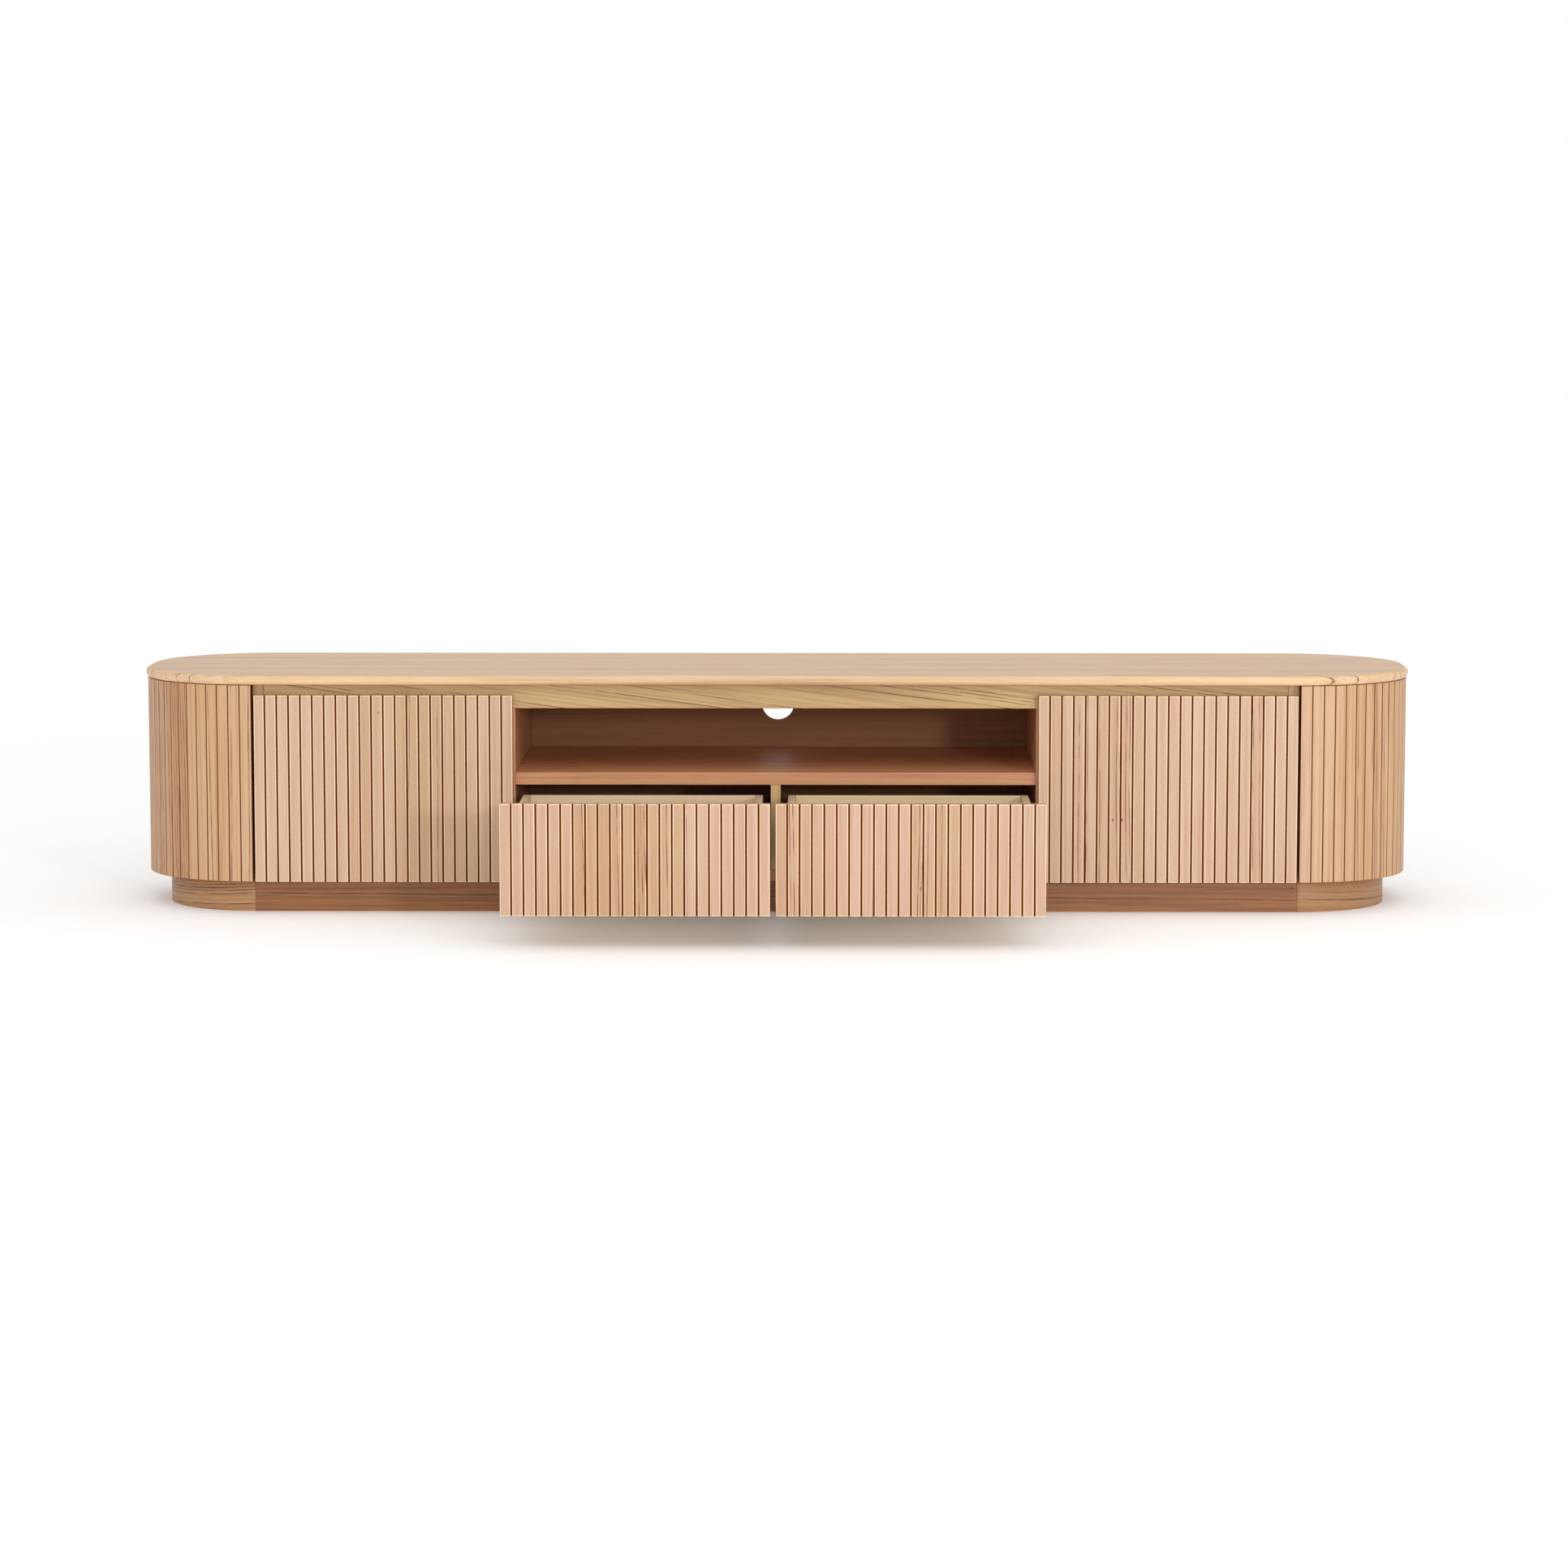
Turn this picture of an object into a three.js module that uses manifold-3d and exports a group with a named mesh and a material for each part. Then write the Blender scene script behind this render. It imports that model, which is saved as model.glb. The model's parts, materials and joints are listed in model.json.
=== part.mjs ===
// A long, low media cabinet with slatted fronts and rounded ends.
//
// A thin top rests on a carcass of boards. Two curved, slatted shells close its ends. A slatted door
// stands in front of a cupboard on each side, and between the cupboards an open niche lies over two
// drawers on full-extension runners. The whole carcass stands on a plinth that is set back all round.
//
// Millimetres. X runs along the length, Y from front to back, Z up. The origin is on the floor, under
// the middle of the carcass. The drawers are modelled pulled out by drawerPull.

import * as THREE from 'three';
import { mergeVertices } from 'three/addons/utils/BufferGeometryUtils.js';
import Module from 'manifold-3d';

const wasm = await Module();
wasm.setup();

// ---------------------------------------------------------------------------------------------
// Driving dimensions
// ---------------------------------------------------------------------------------------------

// Overall sizes
const topLength = 2100;
const topDepth = 446;
const overallHeight = 392;
const topThickness = 16;
const topOverhang = 3;
const topEdgeRadius = 6;
const endRadius = 192.5;
const plinthHeight = 53;
const plinthInset = 34;
const plinthThickness = 18;

// Boards of the carcass
const boardThickness = 18;
const shelfThickness = 20;
const dividerThickness = 16;
const railThickness = 20;
const railHeight = 39.5;
const backThickness = 9;
const backRecess = 3;
const nicheWidth = 851;
const shelfTop = 231;
const cupboardShelfTop = 232;
const cupboardShelfSetback = 40;
const cableHoleRadius = 27.5;
const cableHoleHeight = 305;

// Slatted doors, drawer fronts and end shells
const frontThickness = 20;
const doorHeight = 306;
const drawerFrontHeight = 175;
const slatsPerFront = 22;
const slatsPerShell = 34;
const frontGrooveWidth = 2.2;
const frontGrooveDepth = 5;
const frontChamfer = 1;
const shellGrooveWidth = 1;
const shellGrooveDepth = 3;
const shellChamfer = 0.6;

// Drawer boxes and their runners
const drawerPull = 395;
const boxDepth = 400;
const boxHeight = 114;
const boxLift = 9;
const boxThickness = 12;
const boxBottomThickness = 9;
const boxBottomLift = 10;
const runnerSpace = 12.7;
const runnerLength = 400;
const runnerHeight = 45;
const runnerLift = 18;
const runnerSteel = 1.5;
const runnerFlange = 7;

// Concealed cup hinges
const cupRadius = 17.5;
const cupDepth = 12;
const cupFromEdge = 22;
const hingeFromEnd = 72;
const hingePlateWidth = 45;
const hingePlateLength = 52;
const hingePlateThickness = 6;
const hingePlateSetback = 24;
const hingeArmWidth = 16;
const hingeArmDepth = 12;
const hingeArmLength = 84;
const hingeArmNose = 6;
const hingeArmBite = 1;
const cupFlangeHeight = 54;
const cupFlangeWidth = 24;
const cupFlangeThickness = 1;

// Clearances
const seam = 0.2;
const reveal = 2.5;
const drawerGap = 6;
const drawerSideGap = 0.5;
const frontSeat = 1.5;
const cupClearance = 0.3;
const runnerClearance = 0.6;

// Smoothness of round stretches, as segments in a quarter turn
const arcSteps = 12;

// ---------------------------------------------------------------------------------------------
// Planes and lines that follow from them
// ---------------------------------------------------------------------------------------------

const bodyHalfLength = topLength / 2 - topOverhang;
const bodyFront = -(topDepth / 2 - topOverhang);
const bodyBack = -bodyFront;
const topUnderside = overallHeight - topThickness;
const shellStart = bodyHalfLength - endRadius;
const endStraight = bodyBack - endRadius;

const boardFront = bodyFront + frontThickness + frontSeat;
const floorTop = plinthHeight + boardThickness;
const backFace = bodyBack - backRecess - backThickness;
const wallOuter = shellStart;
const wallInner = wallOuter - boardThickness;
const nicheHalf = nicheWidth / 2;
const partitionOuter = nicheHalf + boardThickness;
const dividerHalf = dividerThickness / 2;
const shelfUnderside = shelfTop - shelfThickness;
const railBottom = topUnderside - railHeight;
const railBack = boardFront + railThickness;

const doorOuter = shellStart - reveal;
const drawerOuter = nicheHalf - drawerSideGap;
const doorInner = drawerOuter + reveal;
const drawerInner = drawerGap / 2;
const frontBack = bodyFront + frontThickness;

const boxBottom = floorTop + boxLift;
const boxTop = boxBottom + boxHeight;
const boxInner = dividerHalf + runnerSpace;
const boxOuter = nicheHalf - runnerSpace;
const boxFront = frontBack + seam;
const boxBack = boxFront + boxDepth;
const runnerMiddle = boxBottom + runnerLift + runnerHeight / 2;

// ---------------------------------------------------------------------------------------------
// Materials
// ---------------------------------------------------------------------------------------------

const woodTop = { color: 0xcfb092, roughness: 0.5, metalness: 0 };
const woodFront = { color: 0xd2ab88, roughness: 0.55, metalness: 0 };
const woodEnd = { color: 0xc89a6b, roughness: 0.55, metalness: 0 };
const woodCarcass = { color: 0xb98660, roughness: 0.6, metalness: 0 };
const woodInside = { color: 0x6a4430, roughness: 0.65, metalness: 0 };
const woodPlinth = { color: 0x8f6242, roughness: 0.6, metalness: 0 };
const woodBox = { color: 0xcdb998, roughness: 0.6, metalness: 0 };
const runnerZinc = { color: 0xb4b6b8, roughness: 0.35, metalness: 1 };
const hingeNickel = { color: 0xbfc0c0, roughness: 0.25, metalness: 1 };

const cabinet = new THREE.Group();
const drawers = { left: new THREE.Group(), right: new THREE.Group() };
const runners = { left: new THREE.Group(), right: new THREE.Group() };
drawers.left.position.y = -drawerPull;
drawers.right.position.y = -drawerPull;
runners.left.position.y = -drawerPull / 2;
runners.right.position.y = -drawerPull / 2;
cabinet.add(drawers.left, drawers.right, runners.left, runners.right);

// ---------------------------------------------------------------------------------------------
// Building blocks
// ---------------------------------------------------------------------------------------------

// A named mesh in a group, with a material of its own.
function addMesh(parent, name, geometry, finish) {
  const mesh = new THREE.Mesh(geometry, new THREE.MeshStandardMaterial(finish));
  mesh.name = name;
  parent.add(mesh);
}

// A rectangular block between two corners, given as spans along X, Y and Z.
function blockGeometry(spanX, spanY, spanZ) {
  const size = [spanX, spanY, spanZ].map(([low, high]) => high - low);
  const middle = [spanX, spanY, spanZ].map(([low, high]) => (low + high) / 2);
  return new THREE.BoxGeometry(...size).translate(...middle);
}

function addBoard(parent, name, spanX, spanY, spanZ, finish) {
  addMesh(parent, name, blockGeometry(spanX, spanY, spanZ), finish);
}

// The span from a to b on one side of the middle plane: side is -1 for the left and 1 for the right.
function sideSpan(side, a, b) {
  return side < 0 ? [-b, -a] : [a, b];
}

// A plan outline in X and Y, raised from one height to another.
function extrudeUp(points, bottom, top) {
  const shape = new THREE.Shape(points);
  const settings = { depth: top - bottom, bevelEnabled: false };
  return new THREE.ExtrudeGeometry(shape, settings).translate(0, 0, bottom);
}

// An outline in Y and Z, drawn out along X.
function extrudeAcross(points, spanX) {
  const settings = { depth: spanX[1] - spanX[0], bevelEnabled: false };
  const geometry = new THREE.ExtrudeGeometry(new THREE.Shape(points), settings);
  const alongX = new THREE.Matrix4().makeBasis(
    new THREE.Vector3(0, 1, 0), new THREE.Vector3(0, 0, 1), new THREE.Vector3(1, 0, 0));
  return geometry.applyMatrix4(alongX).translate(spanX[0], 0, 0);
}

// An outline in X and Z, drawn out along Y. The outline may hold holes.
function extrudeBack(shape, spanY) {
  const settings = { depth: spanY[1] - spanY[0], bevelEnabled: false, curveSegments: arcSteps };
  const geometry = new THREE.ExtrudeGeometry(shape, settings);
  const alongY = new THREE.Matrix4().makeBasis(
    new THREE.Vector3(1, 0, 0), new THREE.Vector3(0, 0, 1), new THREE.Vector3(0, -1, 0));
  return geometry.applyMatrix4(alongY).translate(0, spanY[1], 0);
}

// A closed geometry as a solid that can be joined and cut.
function solidOf(geometry) {
  const bare = geometry.clone();
  bare.deleteAttribute('normal');
  bare.deleteAttribute('uv');
  const merged = mergeVertices(bare, 1e-3);
  return new wasm.Manifold(new wasm.Mesh({
    numProp: 3,
    vertProperties: new Float32Array(merged.attributes.position.array),
    triVerts: new Uint32Array(merged.index.array),
  }));
}

// The solid's surface as a geometry again.
function geometryOf(solid) {
  const mesh = solid.getMesh();
  const geometry = new THREE.BufferGeometry();
  geometry.setAttribute('position', new THREE.BufferAttribute(new Float32Array(mesh.vertProperties), 3));
  geometry.setIndex(new THREE.BufferAttribute(new Uint32Array(mesh.triVerts), 1));
  geometry.computeVertexNormals();
  return geometry;
}

// Points of a circular arc in plan, from one angle to another, both in radians.
function arcPoints(centreX, centreY, radius, from, to) {
  const points = [];
  for (let step = 0; step <= arcSteps; step += 1) {
    const angle = from + (to - from) * step / arcSteps;
    points.push(new THREE.Vector2(centreX + radius * Math.cos(angle), centreY + radius * Math.sin(angle)));
  }
  return points;
}

// The rounded outline that the plan of the whole object follows, inset by a distance from the body.
// It starts at the right end's front and runs anticlockwise.
function roundedPlan(inset) {
  const radius = endRadius - inset;
  const quarter = Math.PI / 2;
  return [
    ...arcPoints(shellStart, -endStraight, radius, -quarter, 0),
    ...arcPoints(shellStart, endStraight, radius, 0, quarter),
    ...arcPoints(-shellStart, endStraight, radius, quarter, 2 * quarter),
    ...arcPoints(-shellStart, -endStraight, radius, 2 * quarter, 3 * quarter),
  ];
}

// The line that the face of a slatted panel follows. Each point is a distance along the panel and a
// depth below its face. Every joint between two slats is a narrow groove with eased arrises.
function slattedLine(length, slats, groove) {
  const pitch = length / slats;
  const half = groove.width / 2;
  const line = [[0, groove.chamfer], [groove.chamfer, 0]];
  for (let joint = 1; joint < slats; joint += 1) {
    const middle = joint * pitch;
    line.push([middle - half - groove.chamfer, 0]);
    line.push([middle - half, groove.chamfer]);
    line.push([middle - half, groove.depth]);
    line.push([middle + half, groove.depth]);
    line.push([middle + half, groove.chamfer]);
    line.push([middle + half + groove.chamfer, 0]);
  }
  line.push([length - groove.chamfer, 0], [length, groove.chamfer]);
  return line;
}

// A flat slatted panel between two lines in X, with its face on the front plane.
function slattedPanel(spanX, bottom, height) {
  const groove = { width: frontGrooveWidth, depth: frontGrooveDepth, chamfer: frontChamfer };
  const points = slattedLine(spanX[1] - spanX[0], slatsPerFront, groove)
    .map(([along, depth]) => new THREE.Vector2(spanX[0] + along, bodyFront + depth));
  points.push(new THREE.Vector2(spanX[1], frontBack), new THREE.Vector2(spanX[0], frontBack));
  return extrudeUp(points, bottom, bottom + height);
}

// ---------------------------------------------------------------------------------------------
// Top, plinth and carcass
// ---------------------------------------------------------------------------------------------

// The top: a thin slab with softly rounded edges, a little larger than the body all round.
function buildTop() {
  const settings = {
    depth: topThickness - 2 * topEdgeRadius,
    bevelEnabled: true,
    bevelThickness: topEdgeRadius,
    bevelSize: topEdgeRadius,
    bevelOffset: -topEdgeRadius,
    bevelSegments: 3,
  };
  const shape = new THREE.Shape(roundedPlan(-topOverhang));
  const geometry = new THREE.ExtrudeGeometry(shape, settings);
  addMesh(cabinet, 'top_slab', geometry.translate(0, 0, topUnderside + topEdgeRadius), woodTop);
}

// The plinth: two straight boards, two curved ends and three cross rails, all standing on the floor.
function buildPlinth() {
  const top = plinthHeight - seam;
  const front = bodyFront + plinthInset;
  const back = -front;
  const straight = [-shellStart + seam, shellStart - seam];
  addBoard(cabinet, 'plinth_front', straight, [front, front + plinthThickness], [0, top], woodPlinth);
  addBoard(cabinet, 'plinth_back', straight, [back - plinthThickness, back], [0, top], woodPlinth);
  for (const [name, middle] of [['centre', 0], ['left', -wallInner], ['right', wallInner]]) {
    const spanX = [middle - plinthThickness / 2, middle + plinthThickness / 2];
    const spanY = [front + plinthThickness + seam, back - plinthThickness - seam];
    addBoard(cabinet, `plinth_cross_rail_${name}`, spanX, spanY, [0, top], woodPlinth);
  }
  for (const [name, side] of [['left', -1], ['right', 1]]) {
    const outer = endRadius - plinthInset;
    const plan = curvedBand(side, outer, outer - plinthThickness, shellStart);
    addMesh(cabinet, `plinth_end_${name}`, extrudeUp(plan, 0, top), woodPlinth);
  }
}

// A plain curved band round one end: out along the outer radius and back along the inner one.
function curvedBand(side, outer, inner, startX) {
  const quarter = Math.PI / 2;
  const plan = [
    ...arcPoints(startX, -endStraight, outer, -quarter, 0),
    ...arcPoints(startX, endStraight, outer, 0, quarter),
    ...arcPoints(startX, endStraight, inner, quarter, 0),
    ...arcPoints(startX, -endStraight, inner, 0, -quarter),
  ];
  return plan.map((point) => new THREE.Vector2(side * point.x, point.y));
}

// The boards that make the three bays: floor, walls, partitions, shelf, divider, rail and backs.
function buildCarcass() {
  const innerRadius = endRadius - frontThickness - seam;
  const quarter = Math.PI / 2;
  const floorPlan = [];
  for (const [startX, from] of [[shellStart, -quarter], [-shellStart, quarter]]) {
    const turn = Math.sign(startX);
    floorPlan.push(new THREE.Vector2(startX, turn > 0 ? boardFront : bodyBack));
    floorPlan.push(...arcPoints(startX, -turn * endStraight, innerRadius, from, from + quarter));
    floorPlan.push(...arcPoints(startX, turn * endStraight, innerRadius, from + quarter, from + 2 * quarter));
    floorPlan.push(new THREE.Vector2(startX, turn > 0 ? bodyBack : boardFront));
  }
  addMesh(cabinet, 'bottom_panel', extrudeUp(floorPlan, plinthHeight, floorTop), woodCarcass);

  const upright = [floorTop + seam, topUnderside - seam];
  const full = [boardFront, bodyBack];
  const notched = [
    [boardFront, upright[0]], [bodyBack, upright[0]], [bodyBack, upright[1]],
    [railBack + seam, upright[1]], [railBack + seam, railBottom - seam], [boardFront, railBottom - seam],
  ].map(([y, z]) => new THREE.Vector2(y, z));
  for (const [name, side] of [['left', -1], ['right', 1]]) {
    const wall = sideSpan(side, wallInner, wallOuter - seam);
    addBoard(cabinet, `side_wall_${name}`, wall, full, upright, woodCarcass);
    const partition = extrudeAcross(notched, sideSpan(side, nicheHalf, partitionOuter));
    addMesh(cabinet, `partition_${name}`, partition, woodCarcass);

    const bay = sideSpan(side, partitionOuter + seam, wallInner - seam);
    const backSpan = [backFace, bodyBack - backRecess];
    addBoard(cabinet, `back_panel_${name}`, bay, backSpan, upright, woodInside);
    const shelfY = [boardFront + cupboardShelfSetback, backFace - seam];
    const shelfZ = [cupboardShelfTop - boardThickness, cupboardShelfTop];
    addBoard(cabinet, `cupboard_shelf_${name}`, bay, shelfY, shelfZ, woodCarcass);
  }

  const insideNiche = [-nicheHalf + seam, nicheHalf - seam];
  const toBack = [boardFront, backFace - seam];
  addBoard(cabinet, 'niche_shelf', insideNiche, toBack, [shelfUnderside, shelfTop], woodCarcass);
  const dividerZ = [floorTop + seam, shelfUnderside - seam];
  addBoard(cabinet, 'drawer_divider', [-dividerHalf, dividerHalf], toBack, dividerZ, woodCarcass);
  const railX = [-wallInner + seam, wallInner - seam];
  addBoard(cabinet, 'front_rail', railX, [boardFront, railBack], [railBottom, topUnderside - seam], woodEnd);

  const panel = new THREE.Shape([
    new THREE.Vector2(insideNiche[0], upright[0]), new THREE.Vector2(insideNiche[1], upright[0]),
    new THREE.Vector2(insideNiche[1], upright[1]), new THREE.Vector2(insideNiche[0], upright[1]),
  ]);
  const hole = new THREE.Path();
  hole.absarc(0, cableHoleHeight, cableHoleRadius, 0, 2 * Math.PI, true);
  panel.holes.push(hole);
  const backSpan = [backFace, bodyBack - backRecess];
  addMesh(cabinet, 'back_panel_centre', extrudeBack(panel, backSpan), woodInside);
}

// A curved shell of slats round each end, standing on the plinth's level and reaching the top.
function buildEndShells() {
  const quarterLength = endRadius * Math.PI / 2;
  const length = 2 * quarterLength + 2 * endStraight;
  const groove = { width: shellGrooveWidth, depth: shellGrooveDepth, chamfer: shellChamfer };
  for (const [name, side] of [['left', -1], ['right', 1]]) {
    const outside = slattedLine(length, slatsPerShell, groove).map(([along, depth]) => {
      const radius = endRadius - depth;
      if (along < quarterLength) {
        const angle = along / endRadius;
        return [shellStart + radius * Math.sin(angle), -endStraight - radius * Math.cos(angle)];
      }
      if (along <= quarterLength + 2 * endStraight) {
        return [shellStart + radius, along - quarterLength - endStraight];
      }
      const angle = (along - quarterLength - 2 * endStraight) / endRadius;
      return [shellStart + radius * Math.cos(angle), endStraight + radius * Math.sin(angle)];
    });
    const innerRadius = endRadius - frontThickness;
    const inside = [
      ...arcPoints(shellStart, endStraight, innerRadius, Math.PI / 2, 0),
      ...arcPoints(shellStart, -endStraight, innerRadius, 0, -Math.PI / 2),
    ].map((point) => [point.x, point.y]);
    const plan = [...outside, ...inside].map(([x, y]) => new THREE.Vector2(side * x, y));
    addMesh(cabinet, `end_shell_${name}`, extrudeUp(plan, plinthHeight, topUnderside - seam), woodEnd);
  }
}

// ---------------------------------------------------------------------------------------------
// Doors and their hinges
// ---------------------------------------------------------------------------------------------

// A short cylinder that lies along Y.
function roundAlongY(x, z, radius, spanY) {
  const geometry = new THREE.CylinderGeometry(radius, radius, spanY[1] - spanY[0], 2 * arcSteps);
  return geometry.translate(0, (spanY[0] + spanY[1]) / 2, 0).translate(x, 0, z);
}

function buildDoors() {
  for (const [name, side] of [['left', -1], ['right', 1]]) {
    const cupX = side * (doorOuter - cupFromEdge);
    const heights = [plinthHeight + hingeFromEnd, plinthHeight + doorHeight - hingeFromEnd];
    let door = solidOf(slattedPanel(sideSpan(side, doorInner, doorOuter), plinthHeight, doorHeight));
    for (const height of heights) {
      const bore = [frontBack - cupDepth - cupClearance, frontBack + frontSeat];
      door = door.subtract(solidOf(roundAlongY(cupX, height, cupRadius + cupClearance, bore)));
    }
    addMesh(cabinet, `door_${name}`, geometryOf(door), woodFront);
    heights.forEach((height, index) => {
      const level = ['lower', 'upper'][index];
      addMesh(cabinet, `hinge_cup_${name}_${level}`, hingeCup(cupX, height), hingeNickel);
      addMesh(cabinet, `hinge_arm_${name}_${level}`, hingeArm(side, height), hingeNickel);
    });
  }
}

// The door's half of a hinge: a cup let into the door, with a flange against the door's back.
function hingeCup(x, height) {
  const flangeY = [frontBack + seam / 2, frontBack + seam / 2 + cupFlangeThickness];
  const cup = roundAlongY(x, height, cupRadius, [frontBack - cupDepth, flangeY[1]]);
  const flangeX = [x - cupFlangeWidth / 2, x + cupFlangeWidth / 2];
  const flangeZ = [height - cupFlangeHeight / 2, height + cupFlangeHeight / 2];
  return geometryOf(solidOf(cup).add(solidOf(blockGeometry(flangeX, flangeY, flangeZ))));
}

// The carcass's half of a hinge: a mounting plate on the side wall and a cranked arm that stands on it.
// The arm reaches hingeArmBite short of the wall, so that it bites into the plate and joins it.
function hingeArm(side, height) {
  const wall = wallInner - seam;
  const plateY = [boardFront + hingePlateSetback, boardFront + hingePlateSetback + hingePlateLength];
  const plateX = sideSpan(side, wall - hingePlateThickness, wall);
  const plateZ = [height - hingePlateWidth / 2, height + hingePlateWidth / 2];
  const armFront = boardFront + frontSeat;
  const armBack = armFront + hingeArmLength;
  const root = wall - hingeArmBite;
  const low = root - hingePlateThickness;
  const high = low - hingeArmDepth;
  const noseEnd = armFront + hingeArmNose;
  const outline = [
    [root, noseEnd + hingePlateThickness], [low, noseEnd], [low, armFront],
    [high + hingeArmNose / 2, armFront], [high, noseEnd], [high, armBack - hingeArmNose],
    [(low + high) / 2, armBack], [low, armBack], [low, plateY[1]], [root, plateY[1]],
  ].map(([x, y]) => new THREE.Vector2(side * x, y));
  const arm = extrudeUp(outline, height - hingeArmWidth / 2, height + hingeArmWidth / 2);
  return geometryOf(solidOf(arm).add(solidOf(blockGeometry(plateX, plateY, plateZ))));
}

// ---------------------------------------------------------------------------------------------
// Drawers and their runners
// ---------------------------------------------------------------------------------------------

function buildDrawers() {
  for (const [name, side] of [['left', -1], ['right', 1]]) {
    const drawer = drawers[name];
    const frontX = sideSpan(side, drawerInner, drawerOuter);
    addMesh(drawer, `drawer_${name}_front`, slattedPanel(frontX, plinthHeight, drawerFrontHeight), woodFront);

    const length = [boxFront, boxBack];
    const height = [boxBottom, boxTop];
    const outerSide = sideSpan(side, boxOuter - boxThickness, boxOuter);
    const innerSide = sideSpan(side, boxInner, boxInner + boxThickness);
    const between = sideSpan(side, boxInner + boxThickness + seam, boxOuter - boxThickness - seam);
    addBoard(drawer, `drawer_${name}_outer_side`, outerSide, length, height, woodBox);
    addBoard(drawer, `drawer_${name}_inner_side`, innerSide, length, height, woodBox);
    const frontBoard = [boxFront, boxFront + boxThickness];
    const backBoard = [boxBack - boxThickness, boxBack];
    addBoard(drawer, `drawer_${name}_box_front`, between, frontBoard, height, woodBox);
    addBoard(drawer, `drawer_${name}_box_back`, between, backBoard, height, woodBox);
    const bottomY = [frontBoard[1] + seam, backBoard[0] - seam];
    const bottomZ = [boxBottom + boxBottomLift, boxBottom + boxBottomLift + boxBottomThickness];
    addBoard(drawer, `drawer_${name}_bottom`, between, bottomY, bottomZ, woodBox);

    buildRunner(name, 'outer', side * nicheHalf, -side);
    buildRunner(name, 'inner', side * dividerHalf, side);
  }
}

// A channel's outline in X and Z. It opens along facing, and web is the outside of its web.
function channelOutline(web, facing, flange, height) {
  const half = height / 2;
  const steel = runnerSteel;
  const outline = [
    [0, -half], [flange, -half], [flange, -half + steel], [steel, -half + steel],
    [steel, half - steel], [flange, half - steel], [flange, half], [0, half],
  ];
  const placed = outline.map(([out, up]) => new THREE.Vector2(web + facing * out, runnerMiddle + up));
  return new THREE.Shape(placed);
}

// One runner: a channel on the wall, a middle channel that travels half as far as the drawer, and a
// channel on the drawer's side. They nest in one another with a running clearance.
function buildRunner(name, where, wallX, facing) {
  const travelY = [boardFront + seam, boardFront + seam + runnerLength];
  const middleHeight = runnerHeight - 2 * (runnerSteel + runnerClearance);
  const drawerHeight = middleHeight - 2 * (runnerSteel + runnerClearance);
  const middleWeb = seam + runnerSteel + runnerClearance;
  const drawerWeb = runnerSpace - seam;
  const wall = channelOutline(wallX + facing * seam, facing, runnerFlange + runnerSteel, runnerHeight);
  addMesh(cabinet, `runner_${name}_${where}_wall`, extrudeBack(wall, travelY), runnerZinc);
  const middle = channelOutline(wallX + facing * middleWeb, facing, runnerFlange, middleHeight);
  addMesh(runners[name], `runner_${name}_${where}_middle`, extrudeBack(middle, travelY), runnerZinc);
  const moving = channelOutline(wallX + facing * drawerWeb, -facing, runnerFlange, drawerHeight);
  addMesh(drawers[name], `runner_${name}_${where}_drawer`, extrudeBack(moving, travelY), runnerZinc);
}

buildTop();
buildPlinth();
buildCarcass();
buildEndShells();
buildDoors();
buildDrawers();

export default cabinet;
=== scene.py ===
# %% [markdown]
# # A slatted media cabinet
#
# A long, low cabinet in a pale hardwood with a thin rounded top, slatted doors and drawers, and slatted
# shells round both ends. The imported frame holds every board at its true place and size. This script gives
# each visible board eased edges, its own run of grain and its own tone, because that is what makes a row
# of boards look like timber and not like one printed sheet.

# %% Load the frame
import json
import math
import random

import bmesh
import bpy
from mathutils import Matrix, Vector


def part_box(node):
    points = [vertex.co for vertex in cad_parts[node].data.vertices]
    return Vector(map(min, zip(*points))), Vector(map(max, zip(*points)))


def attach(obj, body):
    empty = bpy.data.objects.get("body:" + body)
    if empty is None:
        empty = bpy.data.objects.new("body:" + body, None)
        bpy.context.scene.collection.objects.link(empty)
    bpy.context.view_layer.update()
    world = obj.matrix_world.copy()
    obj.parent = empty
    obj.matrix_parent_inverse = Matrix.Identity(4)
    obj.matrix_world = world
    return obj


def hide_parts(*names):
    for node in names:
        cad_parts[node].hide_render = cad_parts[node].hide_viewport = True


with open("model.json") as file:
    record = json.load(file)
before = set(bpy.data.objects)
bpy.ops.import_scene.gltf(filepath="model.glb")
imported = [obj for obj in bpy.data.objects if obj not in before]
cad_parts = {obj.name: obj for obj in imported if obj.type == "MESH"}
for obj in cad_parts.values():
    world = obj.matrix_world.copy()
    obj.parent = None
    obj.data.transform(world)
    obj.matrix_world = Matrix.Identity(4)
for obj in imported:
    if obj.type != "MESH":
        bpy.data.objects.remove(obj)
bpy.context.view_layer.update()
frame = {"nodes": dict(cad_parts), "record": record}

MM = 0.001
BODIES = frame["record"]["behaviour"]["bodies"]
BODY_OF = {node: body for body, nodes in BODIES.items() for node in nodes}

# %% [markdown]
# ## Camera, floor and light
#
# The camera stands well back with a long lens, a little above the top, so that the long front stays
# nearly parallel and the top shows as a thin band. A studio for pale timber is bright and even: a white
# surround, a wide soft light over the front, a smaller lamp low on the right that gives the drawers a
# faint shadow, and a pale floor that catches the soft shadow under the open drawers.

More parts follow.
